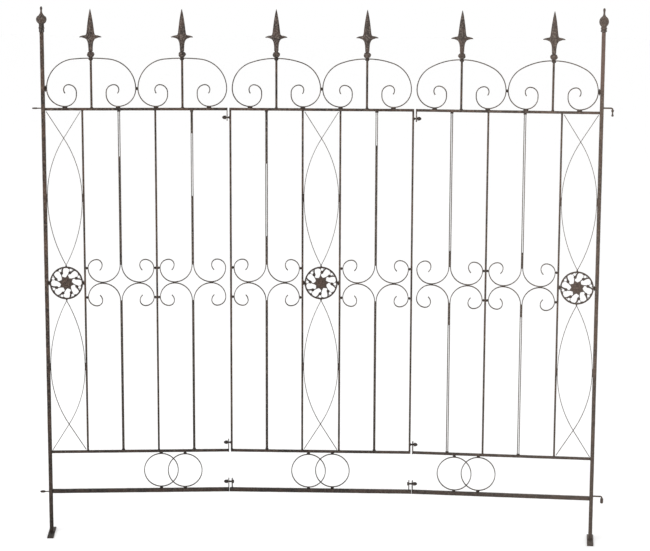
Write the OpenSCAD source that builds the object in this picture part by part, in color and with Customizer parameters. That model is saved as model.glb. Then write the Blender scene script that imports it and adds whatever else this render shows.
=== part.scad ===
// Wrought-iron garden gate: three flat scrollwork panels bolted side by side
// at two joints, between two end posts.
// Frame: X along the gate, Y front (-) to back (+), Z up. The origin is on the
// ground in the middle of the footprint. Millimetres.

/* [Overall] */
// Angle by which each outer panel is swung forward of the middle one, degrees
bow_angle = 5; // [0:1:7]
// Clear width of a bay that holds a pair of back-to-back scrolls
wide_bay = 219; // [205:1:240]
// Clear width of a bay that holds a rosette
narrow_bay = 111; // [106:1:130]
// Height of the base rail's axis above the ground
base_rail_z = 139; // [100:1:200]
// Height of the lower rail's axis above the base rail's
base_band_h = 129; // [124:1:150]
// Height of the top rail's axis above the lower rail's
field_h = 1090; // [1000:10:1300]

/* [Bars] */
// Side of the square end posts
post_side = 12; // [10:1:16]
// Side of the square base rail
base_rail_side = 12; // [10:1:14]
// Side of the square top and lower rails
rail_side = 8; // [7:1:10]
// Side of the square stiles
stile_side = 6; // [5:1:8]
// Diameter of the round stems under the spear heads
stem_d = 7; // [6:1:8]
// Height of the left post's top above the top rail's axis
left_post_rise = 236; // [200:1:280]
// Height of the right post's top above the top rail's axis
right_post_rise = 246; // [200:1:280]

/* [Scroll strip] */
// Thickness of the flat strip of every scroll
strip_t = 2.5; // [2:0.5:3]
// Width of the flat strip, front to back
strip_w = 8; // [6:1:10]
// Gap between the two strips of a pair where they run straight
pair_gap = 2.5; // [2:0.5:4]
// Gap between a base ring and the rails over and under it
ring_gap = 4.5; // [2:0.5:10]
// Distance between the centres of two overlapping base rings
ring_step = 76; // [60:1:90]
// Distance from the left joint to the middle of the left panel's pair of rings
left_rings_x = 177; // [160:1:185]
// Distance from the right joint to the middle of the right panel's pair of rings
right_rings_x = 171; // [160:1:185]
// Thickness of a medallion strip
lens_t = 1.8; // [1.6:0.2:2.6]

/* [Crest] */
// Height of the crest scrolls' tops above the top rail's axis
dome_h = 157; // [150:1:170]
// Height of a spear head above its ball's centre
spear_h = 140; // [120:1:160]
// Span of a spear head's cross bar
spear_span = 68; // [56:1:76]
// Thickness of the crest's heavier strip
dome_t = 3; // [2.5:0.5:4]

/* [Rosette] */
// Gap between a cast rosette and the stiles beside it
rosette_gap = 3.5; // [2:0.5:8]
// Thickness of the rosettes' openwork, front to back
rosette_t = 6; // [5:1:8]
// Number of arms of a rosette
rosette_arms = 8; // [6:1:10]

/* [Joints and hangers] */
// Diameter of the joint bolts and studs
bolt_d = 6; // [6:1:8]
// Distance from a rail's axis to its joint bolt
bolt_drop = 26; // [22:1:32]
// Thickness of the joint tabs
tab_t = 3; // [2:0.5:4]
// Bore of the two hanging eyes
eye_bore_d = 10.4; // [10:0.2:12]
// Diameter of the lower hanging hook's pin
pin_d = 9.6; // [8:0.2:9.6]
// Length of the feet, front to back
foot_l = 115; // [100:5:160]

/* [Hidden] */
$fn = 48;
IRON = "#4a3f39";
RUST = "#6b5444";

// Height of the ball under a spear head, and of a dome's lowest point over the rail
ball_h = 20;
ball_r = 12;
dome_gap = 8.5;

// Heights
lower_rail_z = base_rail_z + base_band_h;
top_rail_z = lower_rail_z + field_h;
band_z = lower_rail_z + field_h / 2;
ball_z = top_rail_z + dome_h + dome_t / 2 + ball_h / 2 + 0.1;
left_post_top = top_rail_z + left_post_rise;
right_post_top = top_rail_z + right_post_rise;
foot_t = 4;
LONG = 2000; // a filler that reaches the rail
foot_w = post_side + 8;

// Middle panel, measured from its centre
inner_stile_x = narrow_bay / 2 + stile_side / 2;
end_stile_x = inner_stile_x + stile_side + wide_bay;
end_stile_face = end_stile_x + stile_side / 2;
middle_pair_x = inner_stile_x + (stile_side + wide_bay) / 2;
// The joint's vertical line, where an outer panel's tabs stand
joint_x = end_stile_x + 10;

// Outer panel, measured outward from its joint line
stile_1_x = wide_bay + stile_side / 2;
stile_2_x = stile_1_x + stile_side + wide_bay;
post_face = stile_2_x + stile_side / 2 + narrow_bay;
post_x = post_face + post_side / 2;
outer_rosette_x = post_face - narrow_bay / 2;
pair_1_x = wide_bay / 2;
pair_2_x = stile_1_x + (stile_side + wide_bay) / 2;
rail_start = tab_t / 2;

// The middle of the footprint, between the front of the feet and the back of the balls
front_y = post_x * sin(bow_angle) + foot_l / 2 * cos(bow_angle) + foot_w / 2 * sin(bow_angle);
shift_y = round((front_y - ball_r) / 2);

// Pieces that fill a space between bars
ring_od = base_band_h - base_rail_side / 2 - rail_side / 2 - 2 * ring_gap;
rosette_d = narrow_bay - 2 * rosette_gap;

// Crest scrolls: half width of one dome, and the distance between two spears
dome_pitch = post_face / 2;
dome_half = dome_pitch / 2 - 3.5;
outer_spear_1_x = dome_half + 1;
outer_spear_2_x = outer_spear_1_x + dome_pitch;
middle_spear_x = dome_pitch / 2;

// A ribbon is a list of steps: [radius, sweep] is an arc, [length, 0] is straight
curl_side_r = 45;
curl_r = 27;
flare_r = wide_bay / 2 - 5.5 - strip_t / 2 - curl_side_r - (pair_gap + strip_t) / 2;
flare_z = strip_t / 2 + 0.4 + flare_r;
FLARE = [[flare_r, 90], [curl_side_r, 90], [curl_r, 90], [17, 90], [22, 50]];
dome_lobe_r = 55;
dome_rise_r = dome_h - dome_lobe_r - dome_gap;
dome_reach = dome_half - stem_d / 2;

// A half dome falls away along a wide arc, then a tighter one. The wider the
// turn of the first arc, the rounder the dome: the three panels differ.
function dome_path(turn) =
    let (wide_r = (dome_reach * cos(turn) - dome_rise_r * (1 - sin(turn)))
            / (sin(turn) * cos(turn) - (1 - sin(turn)) * (1 - cos(turn))),
        tight_r = (dome_rise_r - wide_r * (1 - cos(turn))) / cos(turn))
    [[wide_r, turn], [tight_r, 90 - turn], [dome_lobe_r, 90], [36, 90], [7, 0], [24, 90], [15, 90],
        [18, 40]];

// Medallion strips: straight from the corner, then two arcs to the rosette
lens_half = narrow_bay / 2 - lens_t / 2 - 0.6;
lens_start = rosette_d / 2 + 4;
lens_h = (field_h - rail_side) / 2 - lens_start - 1;
lens_low_h = 0.44 * lens_h;
lens_high_h = 0.385 * lens_h;
lens_low_angle = 2 * atan(lens_half / lens_low_h);
lens_high_angle = 2 * atan(lens_half / lens_high_h);
lens_straight = (lens_h - lens_low_h - lens_high_h) / cos(lens_high_angle) - 2;
LENS = [[lens_low_h / sin(lens_low_angle), lens_low_angle],
        [lens_high_h / sin(lens_high_angle), lens_high_angle], [lens_straight, 0]];

// Joint hardware
hole_r = bolt_d / 2 + 0.8;
nut_af = bolt_d * 5 / 3;
head_h = bolt_d * 2 / 3;
nut_h = 6.5;
washer_t = 1.5;
washer_r = bolt_d;
washer_x = tab_t / 2 + 1.5;
tab_d = 2 * washer_r + 2;
middle_tab_x = end_stile_x - 1;
base_rail_half = joint_x - 2.8;
BOLT_HEIGHTS = [top_rail_z - bolt_drop, lower_rail_z + bolt_drop, base_rail_z + bolt_drop];

// Hangers
eye_rod_d = 4;
eye_reach = 19;
hook_rod_d = 5;
hook_reach = 27;
eye_heights = [top_rail_z + 3, base_rail_z - 1];
hook_heights = [top_rail_z + 15, base_rail_z + 7.5];
hook_drop = 22;

// ---- Placing -------------------------------------------------------------

module in_place() {
    translate([0, shift_y, 0]) children();
}

// Children drawn in an outer panel's own frame, +X outward from its joint
module outer_panel(side) {
    translate([side * joint_x, 0, 0]) rotate([0, 0, -side * bow_angle])
        mirror([side < 0 ? 1 : 0, 0, 0]) children();
}

module both_sides() {
    children();
    mirror([1, 0, 0]) children();
}

// Children drawn upward from the middle of the field, and the same turned down
module above_band() {
    translate([0, 0, band_z]) children();
}

module below_band() {
    translate([0, 0, band_z]) mirror([0, 0, 1]) children();
}

// ---- Basic shapes --------------------------------------------------------

module rail(x0, x1, z, side) {
    translate([x0, -side / 2, z - side / 2]) cube([x1 - x0, side, side]);
}

module upright(x, z0, z1, side) {
    translate([x - side / 2, -side / 2, z0]) cube([side, side, z1 - z0]);
}

module slab(x, z, size_x, size_y, size_z) {
    translate([x - size_x / 2, -size_y / 2, z]) cube([size_x, size_y, size_z]);
}

// A flat strip bent along a list of steps, in the XY plane: it starts at the
// origin heading +X and turns left
module ribbon(path, t, w, i = 0) {
    if (i < len(path)) {
        size = path[i][0];
        sweep = path[i][1];
        if (sweep == 0) {
            translate([0, -t / 2, -w / 2]) cube([size, t, w]);
            translate([size, 0, 0]) ribbon(path, t, w, i + 1);
        } else {
            translate([0, size, 0]) rotate([0, 0, -90])
                rotate_extrude(angle = sweep, $fn = 96)
                    translate([size - t / 2, -w / 2]) square([t, w]);
            translate([size * sin(sweep), size * (1 - cos(sweep)), 0]) rotate([0, 0, sweep])
                ribbon(path, t, w, i + 1);
        }
    }
}

// Stands a ribbon up in the panel's plane: its start heads +X, and it turns up
module upright_ribbon(path, t, w) {
    rotate([90, 0, 0]) ribbon(path, t, w);
}

// ---- Scrolls -------------------------------------------------------------

// One strip of a pair: straight down from the rail, then flaring to its curl
module pair_strip() {
    run = field_h / 2 - rail_side / 2 - flare_z;
    translate([(pair_gap + strip_t) / 2, 0, flare_z + run]) rotate([0, 90, 0])
        upright_ribbon(concat([[run, 0]], FLARE), strip_t, strip_w);
}

module strip_pair(x) {
    translate([x, 0, 0]) both_sides() pair_strip();
}

module half_dome(turn) {
    translate([stem_d / 2, 0, top_rail_z + dome_h]) mirror([0, 0, 1])
        rotate([90, 0, 0])
        shallow_strip(dome_path(turn), 0, dome_t, strip_w);
}

module dome(x, turn) {
    translate([x, 0, 0]) both_sides() half_dome(turn);
}

// The points along a list of steps, each with its heading: [x, y, heading]
function walk(path, x = 0, y = 0, a = 0, i = 0) =
    i == len(path) ? [[x, y, a]] :
    let (size = path[i][0], sweep = path[i][1], n = max(1, ceil(sweep / 3)))
    sweep == 0 ? concat([[x, y, a]], walk(path, x + size * cos(a), y + size * sin(a), a, i + 1)) :
    concat([for (k = [0 : n - 1]) let (s = a + sweep * k / n)
            [x + size * (sin(s) - sin(a)), y + size * (cos(a) - cos(s)), s]],
        let (e = a + sweep)
        walk(path, x + size * (sin(e) - sin(a)), y + size * (cos(a) - cos(e)), e, i + 1));

// A strip of shallow curves, as one extruded outline: it starts at the origin
// at the given heading and turns left
module shallow_strip(path, heading, t, w) {
    line = walk(path, a = heading);
    n = len(line);
    linear_extrude(w, center = true)
        polygon([for (i = [0 : 2 * n - 1])
            let (side = i < n ? 1 : -1, p = line[i < n ? i : 2 * n - 1 - i])
            [p[0] - side * t / 2 * sin(p[2]), p[1] + side * t / 2 * cos(p[2])]]);
}

// Two strips that bow apart and cross again, one in front of the other
module medallion_pair(x) {
    w = strip_w / 2 + 1;
    for (turn = [0, 180])
        translate([x, 0, 0]) rotate([0, 0, turn]) translate([0, (w + 0.2) / 2, lens_start])
            rotate([90, 0, 0]) shallow_strip(LENS, 90 - lens_low_angle, lens_t, w);
}

// Two overlapping rings, one in front of the other
module ring_pair(x) {
    w = strip_w - 2;
    z = (base_rail_z + base_rail_side / 2 + lower_rail_z - rail_side / 2) / 2;
    for (side = [-1, 1])
        translate([x + side * ring_step / 2, side * (w + 0.4) / 2, z]) rotate([90, 0, 0])
            difference() {
                cylinder(d = ring_od, h = w, center = true, $fn = 96);
                cylinder(d = ring_od - 2 * strip_t, h = w + 2, center = true, $fn = 96);
            }
}

// ---- Rosette -------------------------------------------------------------

module rosette(x, turn) {
    rim_r = rosette_d / 2;
    translate([x, 0, band_z]) rotate([90, turn, 0]) {
        difference() {
            cylinder(r = rim_r, h = rosette_t, center = true, $fn = 96);
            cylinder(r = rim_r - 4, h = rosette_t + 2, center = true, $fn = 96);
        }
        for (arm = [0 : rosette_arms - 1]) rotate([0, 0, arm * 360 / rosette_arms])
            rosette_arm(rim_r);
        rosette_star();
        rosette_boss();
    }
}

// A swirling stem with a small eye and a lobe beside the rim
module rosette_arm(rim_r) {
    stem_r = rim_r / 2;
    translate([rim_r * 0.36, stem_r, 0]) rotate([0, 0, -90])
        rotate_extrude(angle = 80) translate([stem_r - 1.5, -rosette_t / 2 + 0.5])
            square([3, rosette_t - 1]);
    difference() {
        union() {
            translate([rim_r - 9.5, 2, 0]) cylinder(r = 7, h = rosette_t - 0.6, center = true);
            translate([rim_r - 16, -2.5, 0]) cylinder(r = 4.2, h = rosette_t - 0.6, center = true);
        }
        translate([rim_r - 9.5, 2, 0]) cylinder(r = 4.2, h = rosette_t + 2, center = true);
    }
}

// Eight-pointed dark star under the boss
module rosette_star() {
    tips = rosette_arms;
    linear_extrude(rosette_t + 1, center = true)
        polygon([for (i = [0 : 2 * tips - 1])
            let (r = i % 2 == 0 ? 23 : 15.5, a = i * 180 / tips) [r * cos(a), r * sin(a)]]);
}

module rosette_boss() {
    rotate_extrude() polygon(concat([[0, -7], [12.5, -7], [12.5, -3]],
        [[13.5, 3.5], [13.5, 6], [11.5, 7], [10, 5.5]],
        [for (a = [40 : -10 : 0]) [9 * sin(a) / sin(40), 5.5 + 4 * (cos(a) - cos(40))]]));
}

// ---- Crest ---------------------------------------------------------------

module stem(x) {
    translate([x, 0, top_rail_z + rail_side / 2])
        cylinder(d = stem_d, h = ball_z - ball_h / 2 - top_rail_z - rail_side / 2);
}

// A solid through a list of diamond sections: [height, half width, half depth]
module diamond_loft(sections) {
    n = len(sections);
    corners = [for (s = sections, p = [[1, 0], [0, 1], [-1, 0], [0, -1]])
        [s[1] * p[0], s[2] * p[1], s[0]]];
    sides = [for (i = [0 : n - 2], j = [0 : 3], k = [0, 1])
        let (a = 4 * i + j, b = 4 * i + (j + 1) % 4)
        k == 0 ? [a, a + 4, b] : [b, a + 4, b + 4]];
    polyhedron(corners, concat(sides, [[0, 1, 2], [0, 2, 3]],
        [[4 * n - 1, 4 * n - 2, 4 * n - 3], [4 * n - 1, 4 * n - 3, 4 * n - 4]]));
}

// A cross-bar spear point on a moulded shank, above a ball
module spear_head(x) {
    shank_z = 25;
    bar_z = 54;
    half_span = spear_span / 2;
    translate([x, 0, ball_z]) {
        rotate_extrude() polygon(concat([[0, -ball_h / 2], [5, -ball_h / 2]],
            [for (a = [-60 : 15 : 60]) [ball_r * cos(a), ball_h / 2 * sin(a)]],
            [[5.8, 12], [6.2, shank_z], [0, shank_z]]));
        translate([0, 0, shank_z - 1]) diamond_loft([[0, 6.6, 5.4], [10, 7.4, 6],
            [17, 9.5, 6.4], [26, 15, 6.8], [31, 15, 6.8], [36, 10.6, 6],
            [spear_h - shank_z + 1, 0.7, 0.7]]);
        for (side = [-1, 1]) translate([0, 0, bar_z]) rotate([0, side * 90, 0])
            diamond_loft([[5, 7, 5.5], [14, 4.6, 4.4], [24, 3.4, 3.4], [half_span, 0.8, 0.8]]);
    }
}

// ---- Posts ---------------------------------------------------------------

module post(top) {
    upright(post_x, foot_t, top, post_side);
}

module foot() {
    translate([post_x - foot_w / 2, -foot_l / 2, 0]) cube([foot_w, foot_l, foot_t]);
}

// Onion finial on a long socket
module onion_finial(top) {
    r = post_side / 2 + 2;
    translate([post_x, 0, top]) rotate_extrude()
        polygon(concat([[0, 0], [r, 0], [r, 11], [r + 1.4, 12], [r + 1.4, 14.5], [r, 15.5], [r, 26]],
            [for (a = [-55 : 11 : 33]) [16.3 * cos(a), 39 + 15 * sin(a)]],
            [[8, 52], [4.6, 57], [3, 62], [2.8, 67], [3.7, 71], [3.7, 75], [2, 78.5], [0, 79]]));
}

// Ball finial on a collar of two rings
module ball_finial(top) {
    r = post_side / 2 + 2;
    translate([post_x, 0, top]) rotate_extrude()
        polygon(concat([[0, 0], [r + 0.6, 0], [r + 1.6, 1.2], [r + 1.6, 4.5], [r, 5.5], [r, 7.5],
                [r + 1.6, 8.5], [r + 1.6, 12], [r + 0.4, 13.5], [r + 0.4, 17]],
            [for (a = [-52 : 13 : 52]) [14.7 * cos(a), 31 + 17 * sin(a)]],
            [[5, 48.5], [3, 54], [3, 60], [3.7, 64], [3.7, 68], [2, 71.5], [0, 72]]));
}

// ---- Joint hardware and hangers -------------------------------------------

// An outer panel's thin tab: from the end of its rail to past the bolt's hole
module joint_tab(rail_face, bolt_z) {
    up = bolt_z > rail_face;
    z0 = up ? rail_face : bolt_z - 10;
    h = abs(bolt_z - rail_face) + 10;
    difference() {
        slab(0, z0, tab_t, tab_d, h);
        translate([0, 0, bolt_z]) rotate([0, 90, 0])
            cylinder(r = hole_r, h = tab_t + 2, center = true);
    }
}

// Threaded stud standing out of the end stile, with a bead of weld at its root
module stud(z) {
    translate([end_stile_face, 0, z]) rotate([0, 90, 0]) {
        cylinder(d = bolt_d, h = joint_x - end_stile_face + washer_x + washer_t + nut_h);
        cylinder(r = bolt_d / 2 + 2.2, h = 2.2);
    }
}

module hex_bolt(z) {
    head_x = middle_tab_x - tab_t / 2 - head_h;
    translate([head_x, 0, z]) rotate([0, 90, 0]) {
        cylinder(d = nut_af / cos(30), h = head_h, $fn = 6);
        cylinder(d = bolt_d, h = joint_x - head_x + washer_x + washer_t + nut_h);
    }
}

module washer(z) {
    translate([joint_x + washer_x, 0, z]) rotate([0, 90, 0]) difference() {
        cylinder(r = washer_r, h = washer_t);
        translate([0, 0, -1]) cylinder(r = bolt_d / 2 + 0.2, h = washer_t + 2);
    }
}

// Hex nut closed by a dome
module dome_nut(z) {
    translate([joint_x + washer_x + washer_t, 0, z]) rotate([0, 90, 0]) difference() {
        union() {
            cylinder(d = nut_af / cos(30), h = nut_h, $fn = 6);
            translate([0, 0, nut_h]) intersection() {
                sphere(d = nut_af - 1);
                cylinder(d = nut_af, h = nut_af);
            }
        }
        translate([0, 0, -1]) cylinder(r = bolt_d / 2 + 0.1, h = nut_h + 1.3);
    }
}

module hanging_eye(z) {
    eye_r = (eye_bore_d + eye_rod_d) / 2 - 0.3;
    translate([post_x + post_side / 2, 0, z]) {
        difference() {
            union() {
                rotate([0, 90, 0]) cylinder(d = eye_rod_d - 0.4, h = eye_reach - eye_bore_d / 2 - 1);
                translate([eye_reach, 0, 0]) rotate_extrude() translate([eye_r, 0])
                    circle(d = eye_rod_d);
            }
            translate([eye_reach, 0, -5]) cylinder(d = eye_bore_d, h = 10);
        }
    }
}

// Pin bent down from a rod that stands out of the post
module hanging_hook(z, pin_profile) {
    bend_r = 5;
    translate([post_x + post_side / 2, 0, z]) {
        rotate([0, 90, 0]) cylinder(d = hook_rod_d, h = hook_reach - bend_r);
        translate([hook_reach - bend_r, 0, -bend_r]) rotate([90, 0, 0])
            rotate_extrude(angle = 90) translate([bend_r, 0]) circle(d = hook_rod_d);
        translate([hook_reach, 0, -bend_r]) rotate_extrude() polygon(pin_profile);
    }
}

LOWER_PIN = [[0, 0], [hook_rod_d / 2, 0], [pin_d / 2, -2], [pin_d / 2, -hook_drop + 7],
    [pin_d / 2 - 1.5, -hook_drop + 5], [0, -hook_drop + 5]];
UPPER_PIN = [[0, 0], [hook_rod_d / 2, 0], [4.2, -1], [4.2, -4], [2.2, -8], [2.2, -14],
    [3.6, -16], [3.6, -19], [2.4, -20.5], [0, -20.5]];

// ---- Fillers -------------------------------------------------------------

// Flat bars that close the gap between the two strips of the pairs at x: up
// and down from the flares, and down from the top rail
module pair_fillers(x, up, down, under_rail = 0) {
    run = field_h / 2 - rail_side / 2 - flare_z;
    above_band() slab(x, flare_z, pair_gap, strip_w - 1, min(up, run));
    below_band() slab(x, flare_z, pair_gap, strip_w - 1, min(down, run));
    if (under_rail > 0)
        above_band() slab(x, flare_z + run - under_rail, pair_gap, strip_w - 1, under_rail);
}

// ---- Weld pads -----------------------------------------------------------

// Pads that fill the gaps between a strip and the bar it is welded to
module ring_pads(x) {
    top_z = lower_rail_z - rail_side / 2 - ring_gap;
    for (side = [-1, 1], z = [base_rail_z + base_rail_side / 2, top_z])
        translate([x + side * ring_step / 2 - 5, side * (strip_w - 1.6) / 2 - 3, z])
            cube([10, 6, ring_gap]);
}

module dome_pads(x) {
    z = top_rail_z + rail_side / 2;
    gap = dome_gap - dome_t / 2 - rail_side / 2;
    foot_x = dome_half - dome_lobe_r;
    for (side = [-1, 1]) slab(x + side * foot_x, z, 14, strip_w - 1, gap);
}

module between_domes(x0, x1) {
    slab((x0 + x1) / 2, top_rail_z + dome_gap + dome_lobe_r - 5, x1 - x0, strip_w - 1, 10);
}

// From a scroll's widest point to the bar beside it
module scroll_pads(x, side) {
    z = strip_t / 2 + 0.4 + curl_side_r;
    reach = wide_bay / 2 - 5.5;
    pad_x = x + side * (reach + wide_bay / 2) / 2;
    above_band() slab(pad_x, z - 4, 5.5, strip_w - 2, 8);
    below_band() slab(pad_x, z - 4, 5.5, strip_w - 2, 8);
}

module rosette_pads(x) {
    for (side = [-1, 1]) {
        translate([x, 0, band_z]) rotate([90, 0, 0]) linear_extrude(rosette_t, center = true)
            polygon([[side * rosette_d / 2, -2], [side * rosette_d / 2, 2],
                [side * narrow_bay / 2, 7], [side * narrow_bay / 2, -7]]);
        slab(x, band_z + side * (rosette_d / 2 + 1.5) - 1.5, 5, rosette_t, 3);
    }
}

// ---- Sub-parts of an outer panel: side is -1 on the left and 1 on the right --

module outer_post(side, top) color(IRON) outer_panel(side) post(top);

module left_post_finial() color(IRON) outer_panel(-1) onion_finial(left_post_top);

module right_post_finial() color(RUST) outer_panel(1) ball_finial(right_post_top);

module outer_foot(side) color(IRON) outer_panel(side) foot();

module outer_rail(side, z, bar) color(IRON) outer_panel(side) rail(rail_start, post_face, z, bar);

module outer_stiles(side) color(IRON) outer_panel(side)
    for (x = [stile_1_x, stile_2_x])
        upright(x, lower_rail_z + rail_side / 2, top_rail_z - rail_side / 2, stile_side);

module outer_crest_stems(side) color(IRON) outer_panel(side)
    for (x = [outer_spear_1_x, outer_spear_2_x]) stem(x);

module outer_spear_heads(side) color(IRON) outer_panel(side)
    for (x = [outer_spear_1_x, outer_spear_2_x]) spear_head(x);

module outer_dome_scrolls(side) color(IRON) outer_panel(side)
    for (x = [outer_spear_1_x, outer_spear_2_x]) dome(x, side < 0 ? 6 : 30);

module outer_upper_scrolls(side) color(IRON) outer_panel(side)
    above_band() for (x = [pair_1_x, pair_2_x]) strip_pair(x);

module outer_lower_scrolls(side) color(IRON) outer_panel(side)
    below_band() for (x = [pair_1_x, pair_2_x]) strip_pair(x);

module outer_medallion_strips(side) color(IRON) outer_panel(side) {
    above_band() medallion_pair(outer_rosette_x);
    below_band() medallion_pair(outer_rosette_x);
}

module left_pair_fillers() color(IRON) outer_panel(-1) {
    pair_fillers(pair_1_x, 217, LONG, 71);
    pair_fillers(pair_2_x, 341, LONG);
}

module right_pair_fillers() color(IRON) outer_panel(1) {
    pair_fillers(pair_1_x, 50, 71);
    pair_fillers(pair_2_x, 50, 40);
}

module outer_rosette(side, turn) color(RUST) outer_panel(side) rosette(outer_rosette_x, turn);

module outer_base_rings(side) color(IRON) outer_panel(side)
    ring_pair(side < 0 ? left_rings_x : right_rings_x);

module outer_joint_tabs(side) color(IRON) outer_panel(side) {
    joint_tab(top_rail_z + rail_side / 2, BOLT_HEIGHTS[0]);
    joint_tab(lower_rail_z - rail_side / 2, BOLT_HEIGHTS[1]);
    joint_tab(base_rail_z - base_rail_side / 2, BOLT_HEIGHTS[2]);
}

module left_hanging_eyes() color(IRON) outer_panel(-1)
    for (z = eye_heights) hanging_eye(z);

module right_hanging_hooks() color(IRON) outer_panel(1) {
    hanging_hook(hook_heights[0], UPPER_PIN);
    hanging_hook(hook_heights[1], LOWER_PIN);
}

module outer_weld_pads(side) color(RUST) outer_panel(side) {
    ring_pads(side < 0 ? left_rings_x : right_rings_x);
    dome_pads(outer_spear_1_x);
    dome_pads(outer_spear_2_x);
    between_domes(outer_spear_1_x + dome_half + dome_t / 2, outer_spear_2_x - dome_half - dome_t / 2);
    between_domes(outer_spear_2_x + dome_half + dome_t / 2, post_face);
    scroll_pads(pair_1_x, 1);
    scroll_pads(pair_2_x, -1);
    scroll_pads(pair_2_x, 1);
    rosette_pads(outer_rosette_x);
}

// ---- Sub-parts of the middle panel ----------------------------------------

module middle_rail(z, bar) color(IRON) rail(-end_stile_face, end_stile_face, z, bar);

module middle_base_rail() color(IRON) rail(-base_rail_half, base_rail_half, base_rail_z, base_rail_side);

module middle_stiles() color(IRON) both_sides() for (x = [inner_stile_x, end_stile_x])
    upright(x, lower_rail_z + rail_side / 2, top_rail_z - rail_side / 2, stile_side);

module middle_crest_stems() color(IRON) both_sides() stem(middle_spear_x);

module middle_spear_heads() color(IRON) both_sides() spear_head(middle_spear_x);

module middle_dome_scrolls() color(IRON) both_sides() dome(middle_spear_x, 20);

module middle_upper_scrolls() color(IRON) above_band() both_sides() strip_pair(middle_pair_x);

module middle_lower_scrolls() color(IRON) below_band() both_sides() strip_pair(middle_pair_x);

module middle_pair_fillers() color(IRON) {
    pair_fillers(-middle_pair_x, 90, LONG, 165);
    pair_fillers(middle_pair_x, 378, LONG);
}

module middle_medallion_strips() color(IRON) {
    above_band() medallion_pair(0);
    below_band() medallion_pair(0);
}

module middle_rosette() color(RUST) rosette(0, 0);

module middle_base_rings() color(IRON) ring_pair(0);

module middle_base_tabs() color(IRON) both_sides() difference() {
    slab(middle_tab_x, base_rail_z + base_rail_side / 2, tab_t, tab_d,
        bolt_drop - base_rail_side / 2 + 10);
    translate([middle_tab_x, 0, BOLT_HEIGHTS[2]]) rotate([0, 90, 0])
        cylinder(r = bolt_d / 2 + 0.2, h = tab_t + 2, center = true);
}

module middle_joint_studs() color(IRON) both_sides() {
    stud(BOLT_HEIGHTS[0]);
    stud(BOLT_HEIGHTS[1]);
}

module middle_weld_pads() color(RUST) {
    ring_pads(0);
    both_sides() {
        dome_pads(middle_spear_x);
        scroll_pads(middle_pair_x, 1);
        scroll_pads(middle_pair_x, -1);
    }
    between_domes(dome_half + dome_t / 2 - middle_spear_x, middle_spear_x - dome_half - dome_t / 2);
    rosette_pads(0);
}

// ---- Fasteners, which stay with the middle panel ---------------------------

module joint_bolts() color(IRON) both_sides() hex_bolt(BOLT_HEIGHTS[2]);

module joint_washers() color(IRON) both_sides() for (z = BOLT_HEIGHTS) washer(z);

module joint_nuts() color(IRON) both_sides() for (z = BOLT_HEIGHTS) dome_nut(z);

in_place() outer_post(-1, left_post_top);  // left_post
in_place() left_post_finial();
in_place() outer_foot(-1);  // left_foot
in_place() outer_rail(-1, top_rail_z, rail_side);  // left_top_rail
in_place() outer_rail(-1, lower_rail_z, rail_side);  // left_lower_rail
in_place() outer_rail(-1, base_rail_z, base_rail_side);  // left_base_rail
in_place() outer_stiles(-1);  // left_stiles
in_place() outer_crest_stems(-1);  // left_crest_stems
in_place() outer_spear_heads(-1);  // left_spear_heads
in_place() outer_dome_scrolls(-1);  // left_dome_scrolls
in_place() outer_upper_scrolls(-1);  // left_upper_scrolls
in_place() outer_lower_scrolls(-1);  // left_lower_scrolls
in_place() outer_medallion_strips(-1);  // left_medallion_strips
in_place() outer_rosette(-1, 10);  // left_rosette
in_place() outer_base_rings(-1);  // left_base_rings
in_place() outer_joint_tabs(-1);  // left_joint_tabs
in_place() left_hanging_eyes();
in_place() left_pair_fillers();
in_place() outer_weld_pads(-1);  // left_weld_pads
in_place() middle_rail(top_rail_z, rail_side);  // middle_top_rail
in_place() middle_rail(lower_rail_z, rail_side);  // middle_lower_rail
in_place() middle_base_rail();
in_place() middle_stiles();
in_place() middle_crest_stems();
in_place() middle_spear_heads();
in_place() middle_dome_scrolls();
in_place() middle_upper_scrolls();
in_place() middle_lower_scrolls();
in_place() middle_medallion_strips();
in_place() middle_rosette();
in_place() middle_base_rings();
in_place() middle_base_tabs();
in_place() middle_joint_studs();
in_place() middle_pair_fillers();
in_place() middle_weld_pads();
in_place() joint_bolts();
in_place() joint_washers();
in_place() joint_nuts();
in_place() outer_post(1, right_post_top);  // right_post
in_place() right_post_finial();
in_place() outer_foot(1);  // right_foot
in_place() outer_rail(1, top_rail_z, rail_side);  // right_top_rail
in_place() outer_rail(1, lower_rail_z, rail_side);  // right_lower_rail
in_place() outer_rail(1, base_rail_z, base_rail_side);  // right_base_rail
in_place() outer_stiles(1);  // right_stiles
in_place() outer_crest_stems(1);  // right_crest_stems
in_place() outer_spear_heads(1);  // right_spear_heads
in_place() outer_dome_scrolls(1);  // right_dome_scrolls
in_place() outer_upper_scrolls(1);  // right_upper_scrolls
in_place() outer_lower_scrolls(1);  // right_lower_scrolls
in_place() outer_medallion_strips(1);  // right_medallion_strips
in_place() outer_rosette(1, 25);  // right_rosette
in_place() outer_base_rings(1);  // right_base_rings
in_place() outer_joint_tabs(1);  // right_joint_tabs
in_place() right_hanging_hooks();
in_place() right_pair_fillers();
in_place() outer_weld_pads(1);  // right_weld_pads
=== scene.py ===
# %% [markdown]
# # A garden gate in wrought iron
#
# The gate is three scrollwork panels, bolted side by side between two posts.
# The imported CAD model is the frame: it says where every bar, strip and
# casting is, in metres, and this lesson gives each one its rolled, cast or
# welded surface. Bars and strips are copies of the CAD solids with worn
# edges, because rolled stock has a plain shape. Castings and welds are
# modelled anew, because the eye knows them by their soft, uneven shape.

# %% Load the frame
from math import atan2, cos, pi, radians, sin

import bmesh
import bpy
from mathutils import Matrix, Vector, noise


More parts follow.
